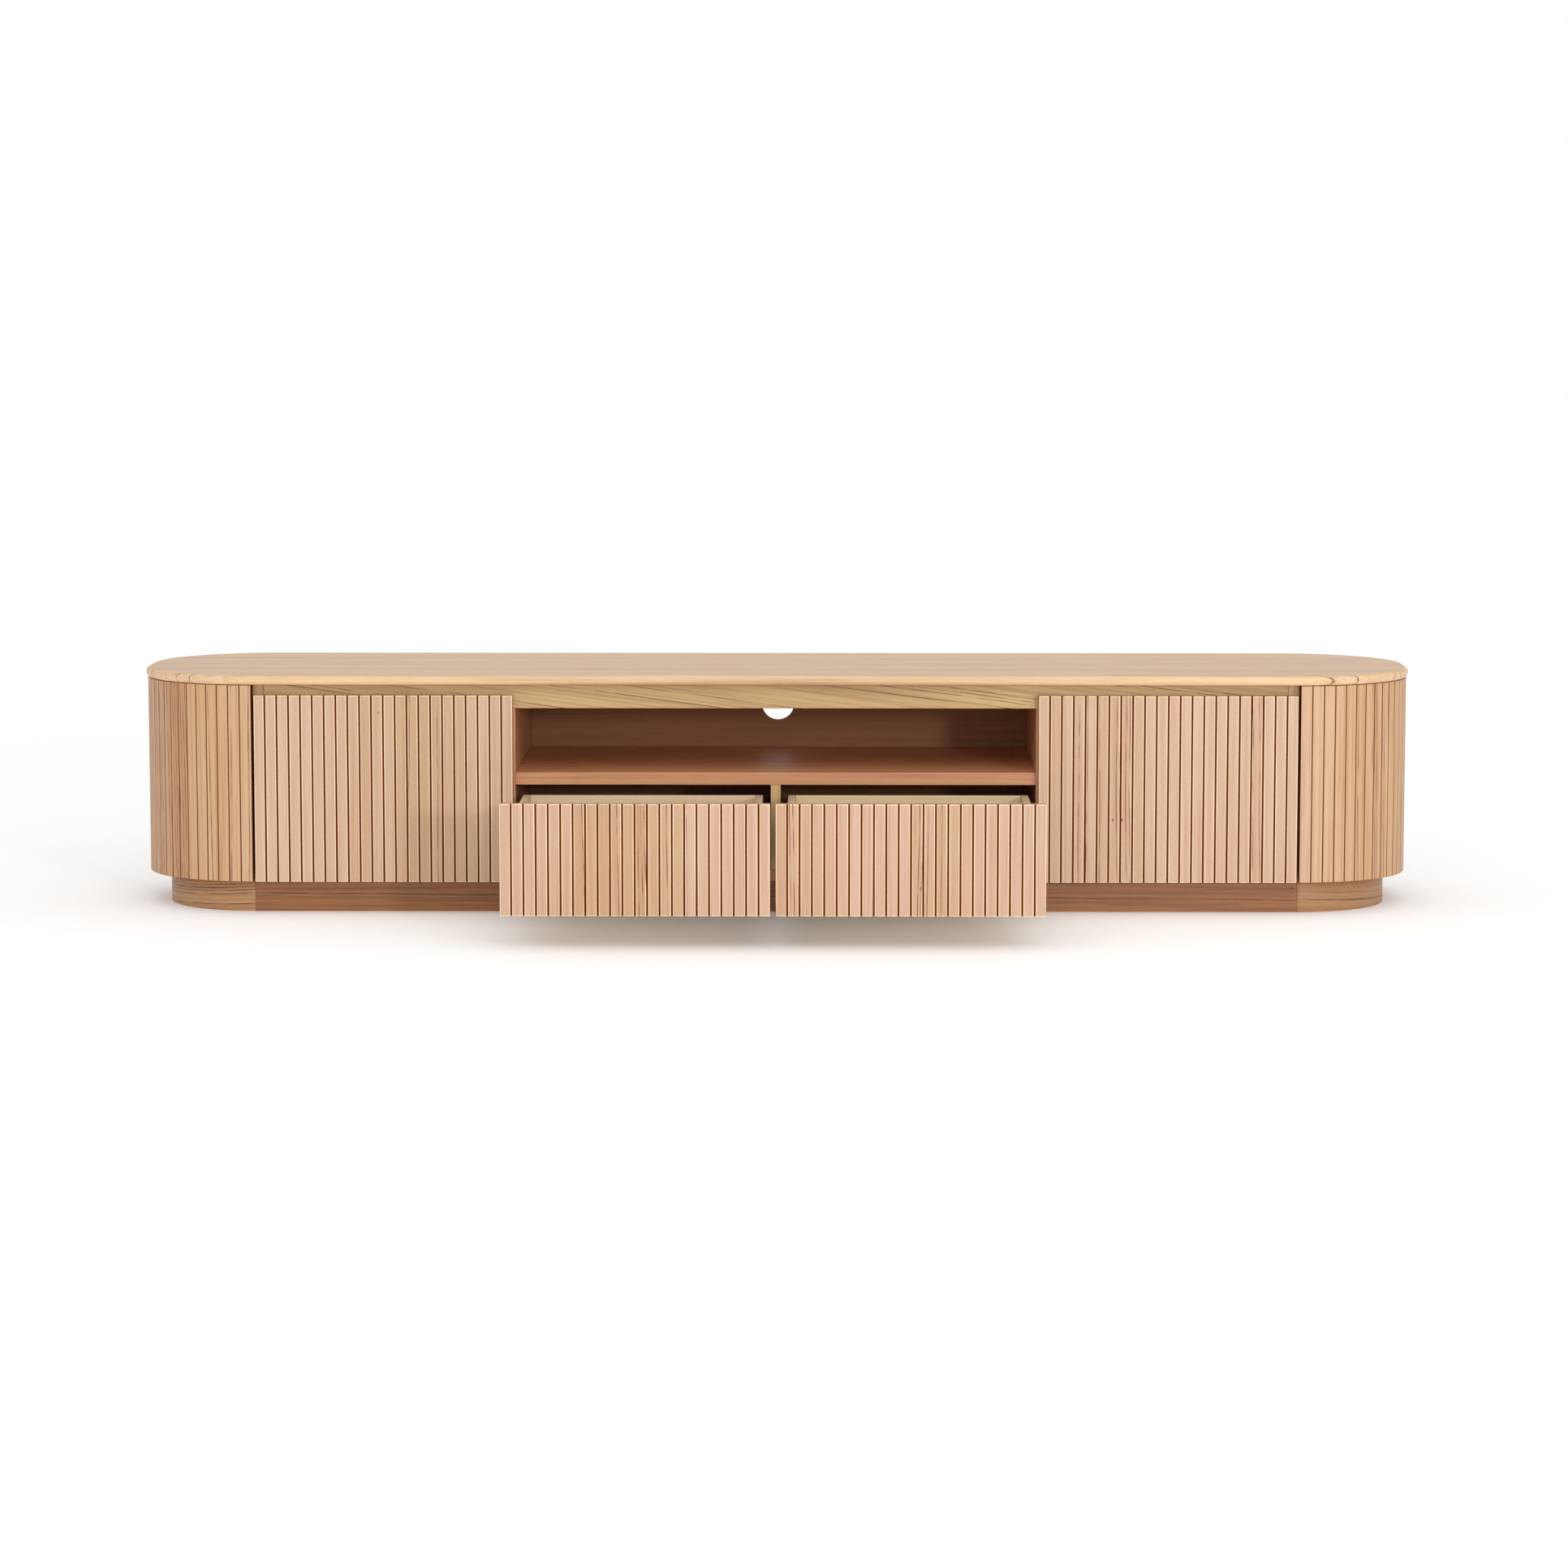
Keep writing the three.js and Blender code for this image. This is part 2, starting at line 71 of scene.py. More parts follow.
# %% Camera
SENSOR = 36.0                    # millimetres, as is the lens
LENS = 107.42
CAMERA_PLACE = (0.0802, -7.7991, 1.0778)
CAMERA_DIP = math.radians(6.495)      # below level
CAMERA_TURN = math.radians(0.501)     # to the left
camera_data = bpy.data.cameras.new("camera")
camera_data.sensor_width = SENSOR
camera_data.lens = LENS
camera_data.clip_end = 60
camera = bpy.data.objects.new("camera", camera_data)
bpy.context.collection.objects.link(camera)
camera.location = CAMERA_PLACE
camera.rotation_euler = (math.pi / 2 - CAMERA_DIP, 0, CAMERA_TURN)
bpy.context.scene.camera = camera
print("camera", tuple(camera.location), "lens", camera_data.lens)


# %% Colours and one helper for nodes
def colour(code):
    """A hex code in sRGB as the linear colour that a shader takes."""
    values = [int(code[i:i + 2], 16) / 255 for i in (1, 3, 5)]
    return (*[v / 12.92 if v <= 0.04045 else ((v + 0.055) / 1.055) ** 2.4 for v in values], 1.0)


def add(tree, kind, inputs, **settings):
    """Adds a node. settings are its properties. inputs gives each socket a value or another socket.
    A socket goes by its name or number. On a Map Range, 0 is the value, 1 and 2 the range it comes from,
    3 and 4 the range it goes to. On a Mix of colours, 0 is the share and 6 and 7 are the colours."""
    made = tree.nodes.new(kind)
    for name, value in settings.items():
        setattr(made, name, value)
    for key, value in inputs.items():
        if isinstance(value, bpy.types.NodeSocket):
            tree.links.new(value, made.inputs[key])
        else:
            made.inputs[key].default_value = value
    return made


# %% Floor
# Matt white paper: it keeps the shadows soft and has no gloss. It glows a little, more so further out, as
# a backdrop does that has lights of its own, and so it meets the white surround without a line.
FLOOR_HALF = 14.0
GLOW_REACH = (1.4, 5.0)
GLOW = (0.12, 0.2)
floor_mesh = bpy.data.meshes.new("studio_floor")
corners = [(-FLOOR_HALF, -FLOOR_HALF, 0), (FLOOR_HALF, -FLOOR_HALF, 0),
           (FLOOR_HALF, FLOOR_HALF, 0), (-FLOOR_HALF, FLOOR_HALF, 0)]
floor_mesh.from_pydata(corners, [], [(0, 1, 2, 3)])
floor = bpy.data.objects.new("studio_floor", floor_mesh)
bpy.context.collection.objects.link(floor)

paper = bpy.data.materials.new("white_backdrop_paper")
paper.use_nodes = True
sheet = paper.node_tree.nodes["Principled BSDF"]
sheet.inputs["Base Color"].default_value = colour("#FCFCFC")
sheet.inputs["Roughness"].default_value = 0.9
sheet.inputs["Specular IOR Level"].default_value = 0.1
sheet.inputs["Emission Color"].default_value = (1, 1, 1, 1)
spot = add(paper.node_tree, "ShaderNodeTexCoord", {}).outputs["Object"]
away = add(paper.node_tree, "ShaderNodeVectorMath", {0: spot}, operation="LENGTH").outputs["Value"]
glow = {0: away, 1: GLOW_REACH[0], 2: GLOW_REACH[1], 3: GLOW[0], 4: GLOW[1]}
glowing = add(paper.node_tree, "ShaderNodeMapRange", glow).outputs[0]
paper.node_tree.links.new(glowing, sheet.inputs["Emission Strength"])
floor_mesh.materials.append(paper)
print("floor", floor_mesh.name)

# %% Surround
SURROUND = 0.84       # how strongly the white surround lights the cabinet; it is seen at full white
world = bpy.data.worlds.new("studio_surround")
bpy.context.scene.world = world
world.use_nodes = True
surround = world.node_tree.nodes["Background"]
surround.inputs["Color"].default_value = (1, 1, 1, 1)
seen = add(world.node_tree, "ShaderNodeLightPath", {}).outputs["Is Camera Ray"]
strength = add(world.node_tree, "ShaderNodeMapRange", {"Value": seen, "To Min": SURROUND, "To Max": 1.0})
world.node_tree.links.new(strength.outputs[0], surround.inputs["Strength"])
bpy.context.scene.view_settings.view_transform = "Standard"      # keeps a hex colour as it is given
print("surround", SURROUND)


# %% Lights
def soft_light(name, place, aim, width, height, power):
    """A rectangular soft box that stands at one place and faces another."""
    data = bpy.data.lights.new(name, "AREA")
    data.shape = "RECTANGLE"
    data.size, data.size_y = width, height
    data.energy = power
    lamp = bpy.data.objects.new(name, data)
    bpy.context.collection.objects.link(lamp)
    lamp.location = place
    lamp.rotation_euler = (Vector(aim) - Vector(place)).to_track_quat("-Z", "Y").to_euler()
    return lamp


MIDDLE = (0, 0, 0.2)      # the middle of the cabinet
soft_light("high_soft_box", (0.8, -3.9, 2.9), MIDDLE, 3.6, 2.0, 36)
soft_light("low_soft_box", (0.6, -6.5, 1.1), MIDDLE, 3.6, 1.0, 26)
soft_light("key_light", (2.9, -7.6, 1.35), MIDDLE, 0.5, 0.5, 110)
print("lights placed")

# %% [markdown]
# ## Timber
#
# The cabinet is a pale eucalypt hardwood under a satin lacquer. Its colour lies between pinkish beige and
# straw. Fine straight fibre and wider growth rings run along each board. Thin red-brown gum veins follow
# the rings in some boards, with a pin knot now and then. And each board is cut from another part of the
# log, so that neighbours differ.
#
# One printed pattern over the whole cabinet would run across the joints. So every board carries two
# attributes on its faces. `grain` is its own coordinates along, across and through the board, with a random
# shift, as if each board came from its own place in the log. `board` holds three numbers: its tone from
# pink to straw, how much gum it has, and 1 on an eased edge, which takes painted light from the rim colour.

# %% Sizes in the timber, in metres
FIBRE = (40 * MM, 0.9 * MM)    # real fibre is finer; this is as fine as it can be and still show
RINGS = (380 * MM, 5 * MM)     # growth rings on a flat-sawn face, and how far one runs
DRIFT = (600 * MM, 70 * MM)    # how slowly the colour of one board changes
VEIN_PITCH = 5.5 * MM          # from one place for a vein to the next
VEIN_WIDTH = 1.7 * MM          # a gum vein; many real ones are finer than would show
WANDER = 7 * MM                # how far a vein strays to the side
SWAY = (260 * MM, 40 * MM)     # how slowly it strays, along and across
BREAKS = (45 * MM, 4 * MM)     # the pieces that it breaks into
KNOT_CELLS = (30, 60, 1)       # places for a pin knot in each metre; it runs right through a board


def streaks(tree, place, size, detail, roughness=0.55):
    """A pattern of streaks that follow the grain. size is their length and their width."""
    scale = (1 / size[0], 1 / size[1], 1 / size[1])
    fitted = add(tree, "ShaderNodeVectorMath", {0: place, 1: scale}, operation="MULTIPLY").outputs[0]
    noise = {"Vector": fitted, "Scale": 1.0, "Detail": detail, "Roughness": roughness}
    return add(tree, "ShaderNodeTexNoise", noise).outputs["Fac"]


# %% Gum veins
def gum_veins(tree, place, amount):
    """Thin lines that wander along the rings. Their share of the colour, from the board's own amount."""
    across = add(tree, "ShaderNodeSeparateXYZ", {0: place}).outputs[1]
    strayed = {0: streaks(tree, place, SWAY, 2.0), 1: WANDER, 2: across}
    shifted = add(tree, "ShaderNodeMath", strayed, operation="MULTIPLY_ADD").outputs[0]
    ring = add(tree, "ShaderNodeMath", {0: shifted, 1: VEIN_PITCH}, operation="DIVIDE").outputs[0]
    number = add(tree, "ShaderNodeMath", {0: ring}, operation="FLOOR").outputs[0]
    inside = add(tree, "ShaderNodeMath", {0: ring}, operation="FRACT").outputs[0]
    chance = add(tree, "ShaderNodeTexWhiteNoise", {"W": number}, noise_dimensions="1D").outputs["Value"]
    chosen = add(tree, "ShaderNodeMath", {0: chance, 1: amount}, operation="LESS_THAN").outputs[0]
    off = add(tree, "ShaderNodeMath", {0: inside, 1: 0.5}, operation="SUBTRACT").outputs[0]
    away = add(tree, "ShaderNodeMath", {0: off}, operation="ABSOLUTE").outputs[0]
    edge = VEIN_WIDTH / VEIN_PITCH / 2
    fading = {0: away, 1: 0.3 * edge, 2: 1.3 * edge, 3: 1.0, 4: 0.0}
    line = add(tree, "ShaderNodeMapRange", fading).outputs[0]
    broken = streaks(tree, place, BREAKS, 3.0)
    held = add(tree, "ShaderNodeMapRange", {0: broken, 1: 0.38, 2: 0.56, 3: 0.15, 4: 1.0}).outputs[0]
    shown = add(tree, "ShaderNodeMath", {0: line, 1: held}, operation="MULTIPLY").outputs[0]
    return add(tree, "ShaderNodeMath", {0: shown, 1: chosen}, operation="MULTIPLY").outputs[0]


# %% The timber material
STAIN = 0.45                   # how far a board full of gum turns to the colour of its darkest ring
KNOT_SHARE = 0.08              # of the places for a knot, how many have one
KNOT_SIZE = (0.05, 0.13)       # its dark core and its rim, as shares of the place
LACQUER_IOR = 1.5
PORE_DEPTH = 0.2 * MM


def timber(name, pink, straw, deep, rings, vein="#8A4B2C", knots=True, rim=None, gloss=0.5):
    """Lacquered hardwood: pink and straw are its two tones, deep its darkest ring, and rim the colour
    painted on its eased edges. A paler rim is a painted highlight, and a darker rim is painted shade.
    rings is how strongly the rings and the fibre show."""
    made = bpy.data.materials.new(name)
    made.use_nodes = True
    tree = made.node_tree
    shader = tree.nodes["Principled BSDF"]
    place = add(tree, "ShaderNodeAttribute", {}, attribute_name="grain").outputs["Vector"]
    board = add(tree, "ShaderNodeAttribute", {}, attribute_name="board").outputs["Vector"]
    tone, gum, eased = add(tree, "ShaderNodeSeparateXYZ", {0: board}).outputs

    drift = streaks(tree, place, DRIFT, 2.0)
    sway = add(tree, "ShaderNodeMapRange", {0: drift, 1: 0.3, 2: 0.7, 3: -0.25, 4: 0.25}).outputs[0]
    tinted = add(tree, "ShaderNodeMath", {0: tone, 1: sway}, operation="ADD", use_clamp=True).outputs[0]
    tones = {0: tinted, 6: colour(pink), 7: colour(straw)}
    shade = add(tree, "ShaderNodeMix", tones, data_type="RGBA").outputs[2]
    # Painted light on the eased edges: a paler rim colour is a painted highlight where an arris catches the
    # light, and the darker rim of the end slats is painted shade in their joints.
    if rim:
        edge_light_share = add(tree, "ShaderNodeMath", {0: eased, 1: 0.9}, operation="MULTIPLY").outputs[0]
        shade = add(tree, "ShaderNodeMix", {0: edge_light_share, 6: shade, 7: colour(rim)}, data_type="RGBA").outputs[2]

    ring = streaks(tree, place, RINGS, 4.0, 0.6)
    dark = add(tree, "ShaderNodeMapRange", {0: ring, 1: 0.44, 2: 0.7, 3: 0.0, 4: rings}).outputs[0]
    shade = add(tree, "ShaderNodeMix", {0: dark, 6: shade, 7: colour(deep)}, data_type="RGBA").outputs[2]
    fibre = streaks(tree, place, FIBRE, 2.0, 0.6)
    fine = add(tree, "ShaderNodeMapRange", {0: fibre, 1: 0.5, 2: 0.8, 3: 0.0, 4: 0.8 * rings}).outputs[0]
    shade = add(tree, "ShaderNodeMix", {0: fine, 6: shade, 7: colour(deep)}, data_type="RGBA").outputs[2]

    stain = add(tree, "ShaderNodeMapRange", {0: gum, 1: 0.3, 2: 1.0, 3: 0.0, 4: STAIN}).outputs[0]
    shade = add(tree, "ShaderNodeMix", {0: stain, 6: shade, 7: colour(deep)}, data_type="RGBA").outputs[2]
    line = gum_veins(tree, place, gum)
    shade = add(tree, "ShaderNodeMix", {0: line, 6: shade, 7: colour(vein)}, data_type="RGBA").outputs[2]
    if knots:
        cell = add(tree, "ShaderNodeVectorMath", {0: place, 1: KNOT_CELLS}, operation="MULTIPLY").outputs[0]
        knot = add(tree, "ShaderNodeTexVoronoi", {"Vector": cell, "Scale": 1.0})
        rarity = {0: knot.outputs["Color"], 1: 1 - KNOT_SHARE}
        rare = add(tree, "ShaderNodeMath", rarity, operation="GREATER_THAN").outputs[0]
        spot = {0: knot.outputs["Distance"], 1: KNOT_SIZE[0], 2: KNOT_SIZE[1], 3: 0.9, 4: 0.0}
        core = add(tree, "ShaderNodeMapRange", spot).outputs[0]
        dot = add(tree, "ShaderNodeMath", {0: core, 1: rare}, operation="MULTIPLY").outputs[0]
        shade = add(tree, "ShaderNodeMix", {0: dot, 6: shade, 7: colour(vein)}, data_type="RGBA").outputs[2]
    tree.links.new(shade, shader.inputs["Base Color"])

    rough = {0: fibre, 1: 0.3, 2: 0.8, 3: 0.94 - gloss, 4: 1.1 - gloss}
    tree.links.new(add(tree, "ShaderNodeMapRange", rough).outputs[0], shader.inputs["Roughness"])
    shader.inputs["IOR"].default_value = LACQUER_IOR
    shader.inputs["Specular IOR Level"].default_value = gloss
    shader.inputs["Coat Weight"].default_value = 0.25 * gloss
    shader.inputs["Coat Roughness"].default_value = 0.35
    pores = add(tree, "ShaderNodeMath", {0: ring, 1: 0.6, 2: fibre}, operation="MULTIPLY_ADD").outputs[0]
    relief = add(tree, "ShaderNodeBump", {"Height": pores, "Strength": 0.3, "Distance": PORE_DEPTH})
    tree.links.new(relief.outputs[0], shader.inputs["Normal"])
    print("timber", name)
    return made


# %% Timbers of the outside
# Planed eucalypt under satin lacquer. It has a broad soft shine and no mirror image. The nose is its palest
# place, with a painted highlight on its rounding.
top_timber = timber("satin_eucalypt_top", "#DBBA9D", "#DCB789", "#B0845B", 0.5,
                    vein="#74401F", knots=False, rim="#E8C297")
# The same timber in upright slats. The sanded arrises carry a nearly white painted highlight that frames
# each slat.
door_timber = timber("satin_eucalypt_door_slats", "#CEAD95", "#C1A07C", "#B4794C", 0.45,
                     vein="#7C2F10", rim="#FFE4C2")
# Drawer slats in a slightly redder tone. They are drawn a little darker than the door slats, as painted
# shade, because they stand out nearer the lights. Their arrises carry the same painted highlight.
drawer_timber = timber("satin_eucalypt_drawer_slats", "#CAA790", "#BD9B78", "#AC6F42", 0.45,
                       vein="#7C2A0E", rim="#FFE2BE")
# End slats from a more orange batch. Their arrises are drawn darker, as painted shade that draws the line
# of each tight joint.
end_timber = timber("satin_eucalypt_end_slats", "#CCAA8A", "#C9A373", "#A5642F", 0.55,
                    vein="#702C10", rim="#9A5F36")
# Olive heartwood of the rail, the walls and the drawer divider, with its grain running aslant, and a paler
# painted highlight on its eased edges.
rail_timber = timber("satin_eucalypt_rail", "#C9A579", "#CDAB72", "#8C683B", 0.55,
                     vein="#6B4524", knots=False, rim="#CFA980")
# The plinth's boards are darker, partly from their own darker timber and partly as painted shade for the
# shade under the cabinet's overhang. Their rings show more, and their eased edges carry a paler painted
# highlight.
plinth_timber = timber("satin_eucalypt_plinth", "#996334", "#9C6B39", "#603714", 0.7,
                       vein="#4E2B14", rim="#B4855C")
curve_timber = timber("satin_eucalypt_plinth_ends", "#B5875F", "#BC9060", "#845534", 0.7,
                      vein="#4C2A14", rim="#C79C70")

# %% Timbers of the inside
# Salmon boards of the carcass and the door backs, with the same satin lacquer and a paler painted highlight
# on their eased edges.
board_timber = timber("satin_eucalypt_boards", "#C98E68", "#C48E5C", "#935A36", 0.5,
                      vein="#6A3D22", knots=False, rim="#DDAA88")
# Painted light on the niche shelf: it is drawn in a paler copy of the salmon boards, which lifts the light
# inside the niche, while its front edge keeps the salmon boards' timber.
lit_shelf_timber = timber("niche_shelf_painted_light", "#E1A076", "#DCA06A", "#A5653D", 0.5,
                      vein="#74452A", knots=False)
# Plywood at the back, drawn darker and duller than the carcass boards.
back_timber = timber("dark_back_board", "#9E683F", "#96613A", "#6A4025", 0.4,
                     vein="#4C2D1B", knots=False, gloss=0.35)
# Birch plywood under clear lacquer: cream, with hardly any figure, and a paler painted highlight on its
# eased edges.
box_timber = timber("lacquered_birch", "#D5C1A2", "#CFB98F", "#A3845C", 0.4,
                    vein="#8A6840", knots=False, rim="#E4D2B2", gloss=0.45)
# Painted shade in the grooves: the flanks of the slats and the backing between them are drawn dark
# red-brown for the shade in the saw cuts, rough and without any gloss.
groove_shade_timber = timber("painted_groove_shade", "#84400F", "#8A4614", "#5A2A0C", 0.3, knots=False, gloss=0.0)
joint_shade_timber = timber("painted_joint_shade", "#6A3210", "#703A14", "#3C1C08", 0.3, knots=False, gloss=0.0)

# %% [markdown]
# ## Boards with eased edges
#
# A joiner never leaves a sawn arris sharp: a pass of sandpaper rounds it by about a millimetre, and that
# thin rounding catches the light and draws each board's outline. Every plain board is already in the
# frame at its true size. So this step copies the CAD board, joins its triangles into whole faces, rounds
# the sharp edges, and writes the grain onto the faces. The copy then stands for the CAD board.

# %% Hand-over to the frame, and values on faces
GRAIN_ORDER = {"x": (0, 1, 2), "y": (1, 0, 2), "z": (2, 0, 1)}     # the axis along the grain comes first


def write_board(mesh, grain, board):
    """Stores the two attributes of a board, one vector for each corner of each face."""
    for name, vectors in (("grain", grain), ("board", board)):
        layer = mesh.attributes.new(name, "FLOAT_VECTOR", "CORNER")
        layer.data.foreach_set("vector", [part for vector in vectors for part in vector])


def stand_in(name, mesh, materials, node):
    """Makes the mesh an object that stands for a CAD node and rides where that node rides."""
    piece = bpy.data.objects.new(name, mesh)
    bpy.context.collection.objects.link(piece)
    for material in materials:
        mesh.materials.append(material)
    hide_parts(node)
    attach(piece, BODY_OF[node])
    return piece


# %% An eased copy of a CAD node
SHARP = math.radians(25)       # an edge that turns more than this is an arris
SAME_PLACE = 0.002 * MM
SAME_FACE = math.radians(1)
EASE_STEPS = 2


def eased_shape(node, radius):
    """The CAD node's shape with its sharp edges rounded, by a radius in mm."""
    bm = bmesh.new()
    bm.from_mesh(frame["nodes"][node].data)
    bmesh.ops.remove_doubles(bm, verts=bm.verts[:], dist=SAME_PLACE)
    bmesh.ops.dissolve_limit(bm, angle_limit=SAME_FACE, verts=bm.verts[:], edges=bm.edges[:])
    for face in bm.faces:
        face.smooth = False
    sharp = [edge for edge in bm.edges if edge.is_manifold and edge.calc_face_angle() > SHARP]
    rounded = bmesh.ops.bevel(bm, geom=sharp, offset=radius * MM, segments=EASE_STEPS, profile=0.5,
                              affect="EDGES", clamp_overlap=True)
    for face in rounded["faces"]:
        face.smooth = True
    return bm


# %% Eased boards
LOG = 9.0                      # metres of log that a board may come from


def eased_board(node, material, grain="x", radius=1.0, slope=0.0, gum=0.1, front_edge_timber=None):
    """A board with rounded arrises. slope tilts its grain, as in a board cut a little across the log.
    The rings follow the wider side. front_edge_timber, if given, goes on the faces that look to the front,
    so that the rest can carry painted light in its own material."""
    bm = eased_shape(node, radius)
    mesh = bpy.data.meshes.new(node)
    bm.to_mesh(mesh)
    bm.free()
    rng = random.Random(node)
    shift = [rng.uniform(0, LOG) for _ in range(3)]
    tone = rng.random()
    length, wide, thin = GRAIN_ORDER[grain]
    low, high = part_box(node)
    if high[wide] - low[wide] < high[thin] - low[thin]:
        wide, thin = thin, wide
    grains, boards = [], []
    for face in mesh.polygons:
        for corner in face.loop_indices:
            point = mesh.vertices[mesh.loops[corner].vertex_index].co
            across = point[wide] + slope * point[length]
            grains.append((point[length] + shift[0], across + shift[1], point[thin] + shift[2]))
            boards.append((tone, gum, float(face.use_smooth)))
    write_board(mesh, grains, boards)
    if front_edge_timber:
        for face in mesh.polygons:
            face.material_index = int(face.normal.y < -0.5)
        return stand_in(node + "_board", mesh, [material, front_edge_timber], node)
    return stand_in(node + "_board", mesh, [material], node)


# %% Boards of the carcass and the plinth
eased_board("front_rail", rail_timber, slope=0.13, gum=0.25)
# The niche shelf carries painted light; its front edge keeps the salmon boards' timber.
eased_board("niche_shelf", lit_shelf_timber, slope=0.004, front_edge_timber=board_timber)
eased_board("drawer_divider", rail_timber, "z")
eased_board("bottom_panel", board_timber)
for side in ("left", "right"):
    eased_board(f"cupboard_shelf_{side}", board_timber)
    eased_board(f"side_wall_{side}", rail_timber, "z")
    eased_board(f"partition_{side}", board_timber, "z")
for where in ("left", "centre", "right"):
    eased_board(f"back_panel_{where}", back_timber, radius=0.6, gum=0.0)
    eased_board(f"plinth_cross_rail_{where}", plinth_timber, "y")
eased_board("plinth_front", plinth_timber, gum=0.25, slope=0.006)
eased_board("plinth_back", plinth_timber, gum=0.15)
print("carcass boards made")

# %% Boards of the drawer boxes
BOX_GRAIN = {"outer_side": "y", "inner_side": "y", "box_front": "x", "box_back": "x", "bottom": "x"}
for side in ("left", "right"):
    for part, grain in BOX_GRAIN.items():
        eased_board(f"drawer_{side}_{part}", box_timber, grain, slope=0.02, gum=0.0)
print("drawer boxes made")

# %% [markdown]
# ## The top
#
# The top is a solid slab with a rounded nose. Its outline is a rounded rectangle, so the mesh is a
# stack of such outlines: each one a little further in or out as the nose turns, joined ring to ring.
# The nose carries a painted highlight: it is drawn paler than the face, where its rounding catches the
# light.

# %% Rounded outlines
ARC_STEPS = 40


def rounded_outline(low, high, radius, inset):
    """Points round a rectangle with round corners, moved in by an inset."""
    points = []
    turn = radius - inset
    for centre_x, centre_y, start in (
            (high[0] - radius, low[1] + radius, -0.5), (high[0] - radius, high[1] - radius, 0.0),
            (low[0] + radius, high[1] - radius, 0.5), (low[0] + radius, low[1] + radius, 1.0)):
        for step in range(ARC_STEPS + 1):
            angle = math.pi * (start + 0.5 * step / ARC_STEPS)
            points.append((centre_x + turn * math.cos(angle), centre_y + turn * math.sin(angle)))
    return points


def stack_rings(bm, rings):
    """Joins rings of points with faces and closes the first and the last."""
    rows = [[bm.verts.new(point) for point in ring] for ring in rings]
    count = len(rows[0])
    for lower, upper in zip(rows, rows[1:]):
        for i in range(count):
            j = (i + 1) % count
            bm.faces.new((lower[i], lower[j], upper[j], upper[i]))
    bm.faces.new(list(reversed(rows[0])))
    bm.faces.new(rows[-1])


# %% Shape of the slab
NOSE = 7.0 * MM
NOSE_STEPS = 8
END_STRAIGHT = 27.5 * MM       # half of the short straight stretch in each round end
low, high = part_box("top_slab")
slab_radius = (high[1] - low[1]) / 2 - END_STRAIGHT
levels = []
for step in range(NOSE_STEPS + 1):
    angle = math.pi / 2 * step / NOSE_STEPS
    levels.append((NOSE * (1 - math.sin(angle)), low[2] + NOSE * (1 - math.cos(angle))))
levels += [(inset, high[2] + low[2] - height) for inset, height in reversed(levels)]
bm = bmesh.new()
stack_rings(bm, [[(x, y, height) for x, y in rounded_outline(low, high, slab_radius, inset)]
                 for inset, height in levels])
slab = bpy.data.meshes.new("top_slab")
bm.to_mesh(slab)
bm.free()
print("slab faces", len(slab.polygons), "end radius", slab_radius)

# %% Grain of the slab
TOP_TONE = 0.35
TOP_GUM = 0.11
TOP_SLOPE = 0.012
FLAT = 0.999                   # an upright normal from here on is a flat face
# Share of the painted highlight on the nose.
NOSE_HIGHLIGHT = 0.7
grains, boards = [], []
for face in slab.polygons:
    face.use_smooth = abs(face.normal.z) < FLAT
    for corner in face.loop_indices:
        point = slab.vertices[slab.loops[corner].vertex_index].co
        grains.append((point.x, point.y + TOP_SLOPE * point.x, point.z))
        boards.append((TOP_TONE, TOP_GUM, NOSE_HIGHLIGHT * face.use_smooth))
write_board(slab, grains, boards)
slab_piece = stand_in("top_slab_rounded", slab, [top_timber], "top_slab")
print("made", slab_piece.name)

# %% [markdown]
# ## Slats
#
# Doors, drawer fronts and the curved ends are all built the same way: a backing with a row of upright slats
# on it. A slat is a flat strip with rounded arrises. Between two slats the backing shows as a thin dark
# line: the flanks and the backing in the groove are drawn dark, as painted shade. Grooves could be cut into
# one wide board. Separate slats are built instead, because each one then takes its own grain and tone.
#
# Slats are ripped from wider boards, so a few neighbours share a tone and a gum vein, and then the next
# board begins. A short list says how many slats each board gave, its tone and its gum.

# %% Runs of slats from one board: how many, tone from pink to straw, and gum
RUNS = {
    "door_left": ((2, 0.1, 0), (3, 0.2, 0), (3, 0.35, 0), (4, 0.7, 0.1), (3, 0.9, 0.05),
                  (4, 0.7, 0.05), (3, 0.3, 0)),
    "door_right": ((3, 0.3, 0.03), (2, 0.5, 0.1), (4, 0.65, 0.3), (5, 0.1, 0.0), (3, 0.25, 0.03),
                   (3, 0.4, 0.35), (2, 0.45, 0.15)),
    "drawer_left_front": ((2, 0.3, 0), (2, 0.1, 0.03), (2, 0.5, 0.03), (6, 0.8, 0.6), (3, 0.85, 0.1),
                          (4, 0.1, 0.03), (3, 0.0, 0)),
    "drawer_right_front": ((3, 0.6, 0.5), (1, 0.8, 0.1), (2, 0.5, 0), (5, 0.05, 0), (4, 0.85, 0.15),
                           (2, 0.4, 0.15), (5, 0.15, 0.02)),
    # The long gummy run on the left end is partly real gum and partly painted shade: it is darker where
    # that end turns away from the key light on the right.
    "end_shell_left": ((3, 0.4, 0.08), (3, 0.6, 0.15), (10, 0.6, 0.95), (6, 0.3, 0.4), (6, 0.7, 0.2),
                       (6, 0.4, 0.3)),
    "end_shell_right": ((5, 0.3, 0.08), (4, 0.45, 0.35), (6, 0.75, 0.25), (7, 0.5, 0.4), (6, 0.3, 0.2),
                        (6, 0.7, 0.3)),
}
print("slats", {node: sum(count for count, _, _ in runs) for node, runs in RUNS.items()})

# %% Each slat's place in its board
STEEPEST = 0.012               # how far the grain of a plain slat may lean; in a gummy one it leans more
NEXT_SLAT = (0.02, 0.05)       # metres from one slat to the next in their board, with what the saw takes
TONE_SPREAD = 0.12


